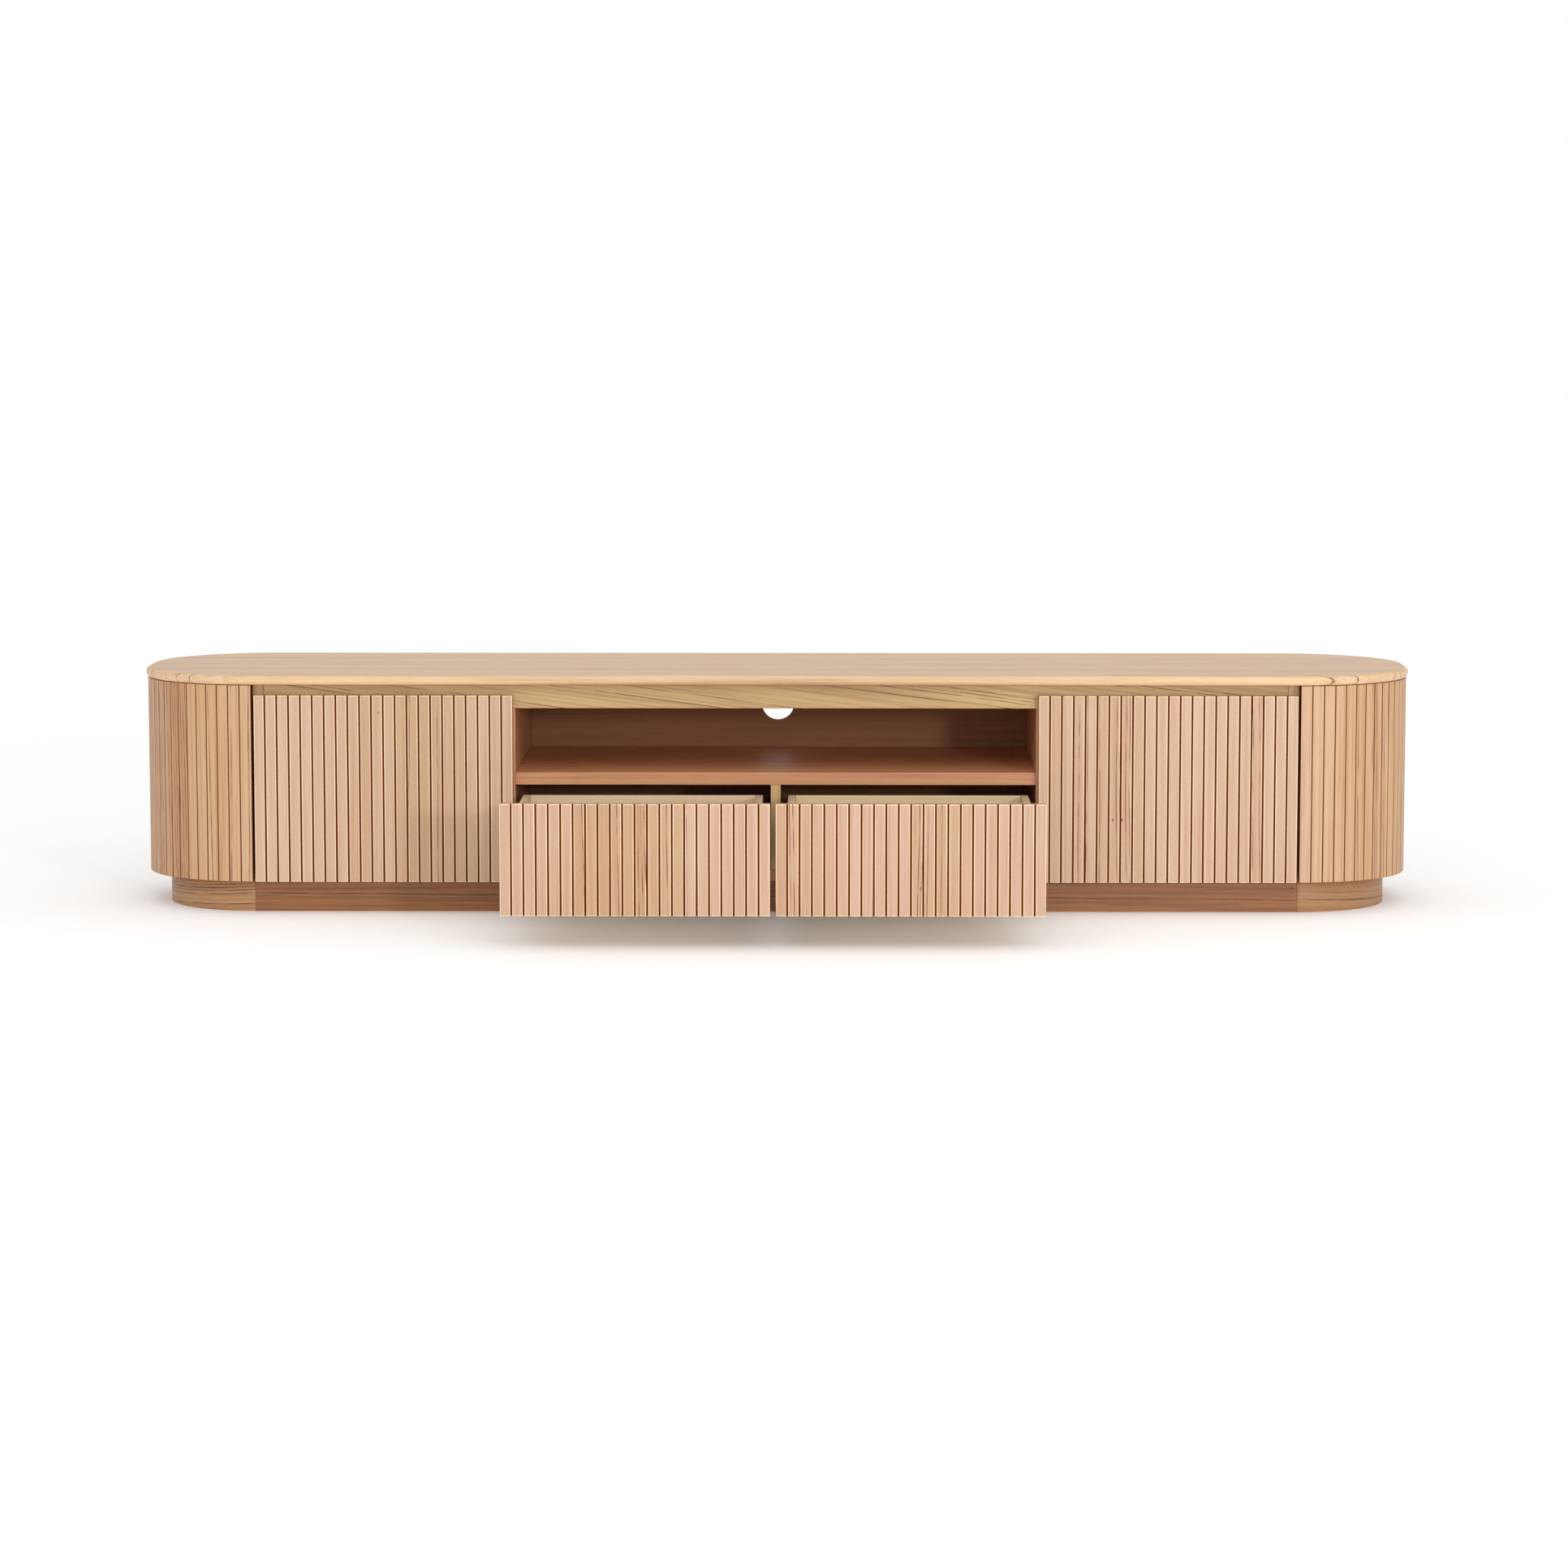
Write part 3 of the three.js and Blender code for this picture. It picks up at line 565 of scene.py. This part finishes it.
def slat_boards(node):
    """For each slat, its shift into the log, its slope of grain, tone and gum."""
    rng = random.Random(node)
    rows = []
    for count, tone, gum in RUNS[node]:
        start = [rng.uniform(0, LOG) for _ in range(3)]
        slope = rng.uniform(-STEEPEST, STEEPEST) * (1 + 3 * gum)
        for index in range(count):
            near = [start[0], start[1] + rng.uniform(*NEXT_SLAT) * index, start[2]]
            own = min(max(tone + rng.uniform(-TONE_SPREAD, TONE_SPREAD), 0), 1)
            rows.append((near, slope, own, gum * rng.uniform(0.5, 1.1)))
    return rows


# %% One slat
ROUND_STEPS = 3


def slat_faces(bm, middle, across, outward, width, bottom, top, deep, radius, marks):
    """Adds a slat. middle is the middle of its face in plan, and marks collects what each face is."""
    def ring(inset, depth):
        corners = ((-width / 2 + inset, bottom + inset), (width / 2 - inset, bottom + inset),
                   (width / 2 - inset, top - inset), (-width / 2 + inset, top - inset))
        return [(middle[0] + across[0] * s - outward[0] * depth,
                 middle[1] + across[1] * s - outward[1] * depth, z) for s, z in corners]

    turns = [math.pi / 2 * step / ROUND_STEPS for step in range(ROUND_STEPS + 1)]
    rings = [ring(0, deep)] + [ring(radius * (1 - math.cos(a)), radius * (1 - math.sin(a))) for a in turns]
    rows = [[bm.verts.new(point) for point in points] for points in rings]
    for level, (lower, upper) in enumerate(zip(rows, rows[1:])):
        for i in range(4):
            j = (i + 1) % 4
            bm.faces.new((lower[i], lower[j], upper[j], upper[i]))
            side = level == 0 and i in (1, 3)
            marks.append("flank" if side else "edge" if level else "end")
    bm.faces.new(rows[-1])
    marks.append("face")
    bm.faces.new(list(reversed(rows[0])))
    marks.append("flank")


# %% A slatted skin on a backing
TUCK = 0.4 * MM      # how far the backing stops short of the slats' ends


def slatted_skin(name, node, frames, width, deep, radius, backing, materials):
    """frames gives each slat's middle, direction across and outward direction.
    backing is a closed shape. materials are the slats' and then the painted shade of the grooves."""
    low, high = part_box(node)
    rows = slat_boards(node)
    bm = bmesh.new()
    marks, owners = [], []
    for index, (middle, across, outward) in enumerate(frames):
        slat_faces(bm, middle, across, outward, width, low[2], high[2], deep, radius, marks)
        owners += [index] * (len(marks) - len(owners))
    bm.from_mesh(backing)
    mesh = bpy.data.meshes.new(name)
    bmesh.ops.recalc_face_normals(bm, faces=bm.faces[:])
    bm.to_mesh(mesh)
    bm.free()
    extra = len(mesh.polygons) - len(marks)
    marks += ["backing"] * extra
    owners += [0] * extra
    grains, boards = [], []
    for face, mark, owner in zip(mesh.polygons, marks, owners):
        middle, across, outward = frames[owner]
        shift, slope, tone, gum = rows[owner]
        # Flanks and backing take the second material, the painted shade of the grooves.
        face.material_index = 1 if mark in ("flank", "backing") else 0
        face.use_smooth = mark == "edge"
        for corner in face.loop_indices:
            point = mesh.vertices[mesh.loops[corner].vertex_index].co
            away = (point.x - middle[0], point.y - middle[1])
            side = away[0] * across[0] + away[1] * across[1]
            through = away[0] * outward[0] + away[1] * outward[1]
            grains.append((point.z + shift[0], side + slope * point.z + shift[1], through + shift[2]))
            boards.append((tone, gum, float(mark == "edge")))
    write_board(mesh, grains, boards)
    return stand_in(name, mesh, materials, node)


# %% Bores for the hinge cups
CUP_BORE = 17.8 * MM           # radius
CUP_BORE_DEPTH = 12.3 * MM
BORE_STEPS = 48


def bored(mesh, spots, face_y):
    """Cuts round blind holes into the back of a backing, where the hinge cups sit."""
    cutter = bmesh.new()
    for x, z in spots:
        turn = [2 * math.pi * step / BORE_STEPS for step in range(BORE_STEPS)]
        circle = [(x + CUP_BORE * math.cos(a), z + CUP_BORE * math.sin(a)) for a in turn]
        ends = (face_y - CUP_BORE_DEPTH, face_y + CUP_BORE_DEPTH)
        stack_rings(cutter, [[(u, y, v) for u, v in circle] for y in ends])
    bmesh.ops.recalc_face_normals(cutter, faces=cutter.faces[:])
    tool_mesh = bpy.data.meshes.new("cup_bores")
    cutter.to_mesh(tool_mesh)
    cutter.free()
    block = bpy.data.objects.new("door_backing", mesh)
    tool = bpy.data.objects.new("cup_bores", tool_mesh)
    for piece in (block, tool):
        bpy.context.collection.objects.link(piece)
    cut = block.modifiers.new("bores", "BOOLEAN")
    cut.object = tool
    cut.operation = "DIFFERENCE"
    result = bpy.data.meshes.new_from_object(block.evaluated_get(bpy.context.evaluated_depsgraph_get()))
    for piece in (block, tool):
        bpy.data.objects.remove(piece)
    return result


def cup_middles(side):
    """Where a door's two hinge cups are, from the boxes of their CAD nodes."""
    boxes = [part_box(f"hinge_cup_{side}_{level}") for level in ("lower", "upper")]
    return [((low[0] + high[0]) / 2, (low[2] + high[2]) / 2) for low, high in boxes]


print("cup middles", {side: cup_middles(side) for side in ("left", "right")})

# %% Doors and drawer fronts
SLATS = 22
GROOVE = 3.0 * MM              # the real groove is 2.2 mm wide; drawn wider, so that it shows
GROOVE_DEPTH = 5 * MM
SUNK = 1 * MM                  # how far a slat goes into its backing
ARRIS = 1.3 * MM


def slatted_front(node, slat_timber, cups=()):
    """A flat front: slats over a backing board, which is bored for hinge cups."""
    low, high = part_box(node)
    pitch = (high[0] - low[0]) / SLATS
    frames = [((low[0] + pitch * (i + 0.5), low[1]), (1, 0), (0, -1)) for i in range(SLATS)]
    ease = GROOVE / 2
    plan = [(low[0] + ease, low[1] + GROOVE_DEPTH), (high[0] - ease, low[1] + GROOVE_DEPTH),
            (high[0] - ease, high[1]), (low[0] + ease, high[1])]
    bm = bmesh.new()
    stack_rings(bm, [[(x, y, z) for x, y in plan] for z in (low[2] + TUCK, high[2] - TUCK)])
    bmesh.ops.recalc_face_normals(bm, faces=bm.faces[:])
    backing = bpy.data.meshes.new("backing")
    bm.to_mesh(backing)
    bm.free()
    if cups:
        backing = bored(backing, cups, high[1])
    deep = GROOVE_DEPTH + SUNK
    materials = [slat_timber, groove_shade_timber, board_timber]
    piece = slatted_skin(node + "_slats", node, frames, pitch - GROOVE, deep, ARRIS, backing, materials)
    groove_floor = low[1] + GROOVE_DEPTH + 0.1 * MM
    for face in piece.data.polygons:
        if face.material_index == 1 and face.center.y > groove_floor:
            face.material_index = 2
    return piece


for side in ("left", "right"):
    slatted_front(f"door_{side}", door_timber, cup_middles(side))
    slatted_front(f"drawer_{side}_front", drawer_timber)
print("slatted fronts made")

# %% [markdown]
# ## Curved ends
#
# The end shells carry the same slats round a half circle with a short straight stretch in the middle.
# Their joints are closer than on the doors, only a fine V between two eased arrises. A flat row of slats
# could be bent, but that would bend every slat too, and a real one stays a flat strip. So the script walks
# along the outline from the front, and sets each slat at the place and the direction that it reads there.

# %% Walking round an end
def end_frame(distance, start_x, radius, straight, side):
    """The place, direction and outward direction after walking a distance from the front."""
    quarter = radius * math.pi / 2
    if distance < quarter:
        angle = distance / radius - math.pi / 2
        centre = -straight
    elif distance > quarter + 2 * straight:
        angle = (distance - quarter - 2 * straight) / radius
        centre = straight
    else:
        angle = 0.0
        centre = distance - quarter - straight
    outward = (math.cos(angle), math.sin(angle))
    place = (side * (start_x + radius * outward[0]), centre + radius * outward[1])
    return place, (-side * outward[1], outward[0]), (side * outward[0], outward[1])


# %% End shells
END_SLATS = 34
END_GROOVE = 1.1 * MM
END_GROOVE_DEPTH = 3 * MM
END_SUNK = 0.5 * MM
END_ARRIS = 0.7 * MM
END_THICKNESS = 20 * MM
WALK_STEPS = 160
for side, name in ((-1, "end_shell_left"), (1, "end_shell_right")):
    low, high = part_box(name)
    radius = high[0] - low[0]
    start_x = low[0] if side > 0 else -high[0]
    straight = high[1] - radius
    length = math.pi * radius + 2 * straight
    pitch = length / END_SLATS
    frames = [end_frame(pitch * (i + 0.5), start_x, radius, straight, side) for i in range(END_SLATS)]
    steps = [length * i / WALK_STEPS for i in range(WALK_STEPS + 1)]
    walk = [end_frame(step, start_x, radius, straight, side) for step in steps]
    ring = [(p[0] - o[0] * END_GROOVE_DEPTH, p[1] - o[1] * END_GROOVE_DEPTH) for p, _, o in walk]
    ring += [(p[0] - o[0] * END_THICKNESS, p[1] - o[1] * END_THICKNESS) for p, _, o in reversed(walk)]
    bm = bmesh.new()
    stack_rings(bm, [[(x, y, z) for x, y in ring] for z in (low[2] + TUCK, high[2] - TUCK)])
    bmesh.ops.recalc_face_normals(bm, faces=bm.faces[:])
    backing = bpy.data.meshes.new("backing")
    bm.to_mesh(backing)
    bm.free()
    materials = [end_timber, joint_shade_timber]
    deep = END_GROOVE_DEPTH + END_SUNK
    slatted_skin(name + "_slats", name, frames, pitch - END_GROOVE, deep, END_ARRIS, backing, materials)
print("end shells made")

# %% [markdown]
# ## Curved plinth ends
#
# Each plinth end is one board bent round the same centres, with its grain lying level. Its faces are a
# strip of cross sections along the bend, so that the grain can follow the bend too.

# %% Bent boards
BEND_STEPS = 96
BEND_EASE = 1.0 * MM
BEND_THICKNESS = 18 * MM
BEND_TONE = 0.6
BEND_SLOPE = 0.05


def bent_board(node, side, material, gum):
    """A board bent round one end. Its grain runs along the bend."""
    low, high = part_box(node)
    radius = high[0] - low[0]
    start_x = low[0] if side > 0 else -high[0]
    straight = high[1] - radius
    length = math.pi * radius + 2 * straight
    inner, floor_z, top_z = BEND_THICKNESS - BEND_EASE, low[2] + BEND_EASE, high[2] - BEND_EASE
    section = [(0, floor_z), (0, top_z), (BEND_EASE, high[2]), (inner, high[2]),
               (BEND_THICKNESS, top_z), (BEND_THICKNESS, floor_z), (inner, low[2]), (BEND_EASE, low[2])]
    rings, spots = [], []
    for step in range(BEND_STEPS + 1):
        distance = length * step / BEND_STEPS
        place, _, outward = end_frame(distance, start_x, radius, straight, side)
        rings.append([(place[0] - outward[0] * deep, place[1] - outward[1] * deep, z)
                      for deep, z in section])
        spots += [(distance, z + BEND_SLOPE * distance, deep) for deep, z in section]
    bm = bmesh.new()
    stack_rings(bm, rings)
    bmesh.ops.recalc_face_normals(bm, faces=bm.faces[:])
    mesh = bpy.data.meshes.new(node)
    bm.to_mesh(mesh)
    bm.free()
    rng = random.Random(node)
    shift = [rng.uniform(0, LOG) for _ in range(3)]
    grains = [[spots[loop.vertex_index][i] + shift[i] for i in range(3)] for loop in mesh.loops]
    write_board(mesh, grains, [(BEND_TONE, gum, 0.0)] * len(grains))
    for face in mesh.polygons:
        face.use_smooth = len(face.vertices) == 4
    return stand_in(node + "_bent", mesh, [material], node)


# %% Plinth ends
bent_board("plinth_end_left", -1, curve_timber, 0.3)
bent_board("plinth_end_right", 1, curve_timber, 0.55)
print("plinth ends made")

# %% [markdown]
# ## Steel
#
# Runners are zinc-plated steel strip, rolled into channels, and the hinges are nickel-plated pressings.
# Both are bare metal to the eye: bright, neutral and a little soft, with fine marks along the way that the
# strip was rolled. Rolled strip has no sharp corners, so the CAD shapes are copied with rounded edges.


# %% Plated steel
ROLLING_MARKS = (60 * MM, 0.4 * MM)     # real rolling marks are finer; these still show
QUARTER_TURN = (0, 0, math.radians(90))    # the marks run from front to back


def plated_steel(name, tint, dull, roughness):
    """Bare plated metal, so its IOR stays at the default. dull is its colour in the rolling marks."""
    made = bpy.data.materials.new(name)
    made.use_nodes = True
    tree = made.node_tree
    shader = tree.nodes["Principled BSDF"]
    shader.inputs["Metallic"].default_value = 1.0
    spot = add(tree, "ShaderNodeTexCoord", {}).outputs["Object"]
    turned = add(tree, "ShaderNodeMapping", {"Vector": spot, "Rotation": QUARTER_TURN}).outputs[0]
    marks = streaks(tree, turned, ROLLING_MARKS, 2.0)
    share = add(tree, "ShaderNodeMapRange", {0: marks, 1: 0.35, 2: 0.65}).outputs[0]
    tints = {0: share, 6: colour(tint), 7: colour(dull)}
    shade = add(tree, "ShaderNodeMix", tints, data_type="RGBA").outputs[2]
    tree.links.new(shade, shader.inputs["Base Color"])
    rough = add(tree, "ShaderNodeMapRange", {0: marks, 1: 0.3, 2: 0.7, 3: roughness, 4: roughness + 0.15})
    tree.links.new(rough.outputs[0], shader.inputs["Roughness"])
    return made


# Zinc is bluish and satin, so a runner shows as a grey band. Nickel is warmer and takes sharper lights.
zinc = plated_steel("zinc_plated_steel", "#C9CCCE", "#A3A7AA", 0.32)
nickel = plated_steel("nickel_plated_steel", "#D4D2CE", "#B4B1AC", 0.2)
print("metals", zinc.name, nickel.name)


# %% Fittings with screw heads
HEAD_STEPS = 32
ARM_OF_CROSS = 0.55            # shares of the head's radius
NECK_OF_CROSS = 0.2


def screw_head(bm, place, outward, radius):
    """A low domed head with a cross recess. It stands on a surface that faces outward."""
    first = outward.orthogonal().normalized()
    second = outward.cross(first)
    turns = [2 * math.pi * step / HEAD_STEPS for step in range(HEAD_STEPS)]
    cross = [ARM_OF_CROSS if abs(math.sin(2 * a)) < 0.45 else NECK_OF_CROSS for a in turns]
    profile = [([1.0] * HEAD_STEPS, -0.1), ([1.0] * HEAD_STEPS, 0.18), ([0.82] * HEAD_STEPS, 0.42),
               (cross, 0.5), ([0.8 * c for c in cross], 0.15)]
    rings = []
    for shares, lift in profile:
        ring = [place + first * (radius * share * math.cos(a)) + second * (radius * share * math.sin(a))
                + outward * (radius * lift) for share, a in zip(shares, turns)]
        rings.append(ring)
    stack_rings(bm, rings)


def steel_piece(node, material, radius, screws, head):
    """An eased copy of a CAD fitting, with screw heads where the real one is screwed on.
    screws gives the place and direction of each, and head is the radius of their heads."""
    bm = eased_shape(node, radius)
    heads = bmesh.new()
    for place, outward in screws:
        screw_head(heads, Vector(place), Vector(outward), head)
    bmesh.ops.recalc_face_normals(heads, faces=heads.faces[:])
    extra = bpy.data.meshes.new("heads")
    heads.to_mesh(extra)
    heads.free()
    bm.from_mesh(extra)
    mesh = bpy.data.meshes.new(node)
    bm.to_mesh(mesh)
    bm.free()
    return stand_in(node + "_steel", mesh, [material], node)


# %% Runners
SCREW_INSET = 35 * MM
WEB = 1.5 * MM                 # thickness of the strip that the screws go through
RUNNER_EASE = 0.5
RUNNER_HEAD = 2.6 * MM
for side, sign in (("left", -1), ("right", 1)):
    for where, facing in (("outer", -sign), ("inner", sign)):
        for part in ("wall", "middle", "drawer"):
            node = f"runner_{side}_{where}_{part}"
            low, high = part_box(node)
            opens = -facing if part == "drawer" else facing
            web = (low[0] if opens > 0 else high[0]) + opens * WEB
            height = (low[2] + high[2]) / 2
            spots = [low[1] + SCREW_INSET, (low[1] + high[1]) / 2, high[1] - SCREW_INSET]
            screws = [((web, y, height), (opens, 0, 0)) for y in spots] if part != "middle" else ()
            steel_piece(node, zinc, RUNNER_EASE, screws, RUNNER_HEAD)
print("runners made")

# %% [markdown]
# ## Cup hinges
#
# Each door hangs on two concealed hinges. The door's half is a pressed cup let into its back, with a flat
# flange and two screws. It is a stack of rings: up the cup's outside, round the flange, over its rim, and
# down the cup's inside to its floor. The carcass's half is a plate with a cranked arm on the side wall.

# %% Hinge cups
CUP_STEPS = 48
CUP_WALL = 1 * MM
CUP_PLAY = 0.3 * MM            # between the cup and its bore
FLANGE_HALF = 12 * MM
FLANGE_EASE = 0.3 * MM
FLANGE_SCREW = 4.5 * MM        # from the flange's end to the screw
FLANGE_HEAD = 3.4 * MM


def hinge_cup(node):
    """A hollow pressed cup. The box of its CAD node gives the flange's outline and the cup's depth."""
    low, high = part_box(node)
    x, z = (low[0] + high[0]) / 2, (low[2] + high[2]) / 2
    flange = high[1] - CUP_WALL
    turns = [2 * math.pi * step / CUP_STEPS for step in range(CUP_STEPS)]
    cup = CUP_BORE - CUP_PLAY
    tall, wide = (high[2] - low[2]) / 2, FLANGE_HALF

    def circle(radius, y):
        return [(x + radius * math.cos(a), y, z + radius * math.sin(a)) for a in turns]

    def plate(y, inset):
        points = []
        for a in turns:
            u, v = math.cos(a), math.sin(a)
            wings = (abs(u) ** 5 / (wide - inset) ** 5 + abs(v) ** 5 / (tall - inset) ** 5) ** (-1 / 5)
            share = max(wings, cup + CUP_WALL - inset)
            points.append((x + share * u, y, z + share * v))
        return points

    lip = high[1] - 0.5 * CUP_WALL
    inside = cup - 1.5 * CUP_WALL
    rings = [circle(cup - CUP_WALL, low[1]), circle(cup, low[1] + CUP_WALL), circle(cup, flange),
             plate(flange, 0), plate(high[1] - FLANGE_EASE, 0), plate(high[1], FLANGE_EASE),
             circle(cup - CUP_WALL, high[1]), circle(inside, lip), circle(inside, low[1] + 2 * CUP_WALL),
             circle(cup - 3 * CUP_WALL, low[1] + CUP_WALL)]
    bm = bmesh.new()
    stack_rings(bm, rings)
    for up in (-1, 1):
        place = Vector((x, high[1], z + up * (tall - FLANGE_SCREW)))
        screw_head(bm, place, Vector((0, 1, 0)), FLANGE_HEAD)
    bmesh.ops.recalc_face_normals(bm, faces=bm.faces[:])
    mesh = bpy.data.meshes.new(node)
    bm.to_mesh(mesh)
    bm.free()
    return stand_in(node + "_pressed", mesh, [nickel], node)


for side in ("left", "right"):
    for level in ("lower", "upper"):
        hinge_cup(f"hinge_cup_{side}_{level}")
print("hinge cups made")

# %% Hinge arms
PLATE_THICKNESS = 6 * MM
ARM_SCREW_BACK = 48.5 * MM     # from the arm's tip to the plate's screws
ARM_SCREW_EDGE = 6 * MM        # from the plate's edge
ARM_EASE = 0.8
ARM_HEAD = 3.6 * MM
for side, sign in (("left", -1), ("right", 1)):
    for level in ("lower", "upper"):
        node = f"hinge_arm_{side}_{level}"
        low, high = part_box(node)
        wall = high[0] if sign > 0 else low[0]
        face_x = wall - sign * PLATE_THICKNESS
        y = low[1] + ARM_SCREW_BACK
        spots = [(face_x, y, low[2] + ARM_SCREW_EDGE), (face_x, y, high[2] - ARM_SCREW_EDGE)]
        steel_piece(node, nickel, ARM_EASE, [(spot, (-sign, 0, 0)) for spot in spots], ARM_HEAD)
print("hinge arms made")
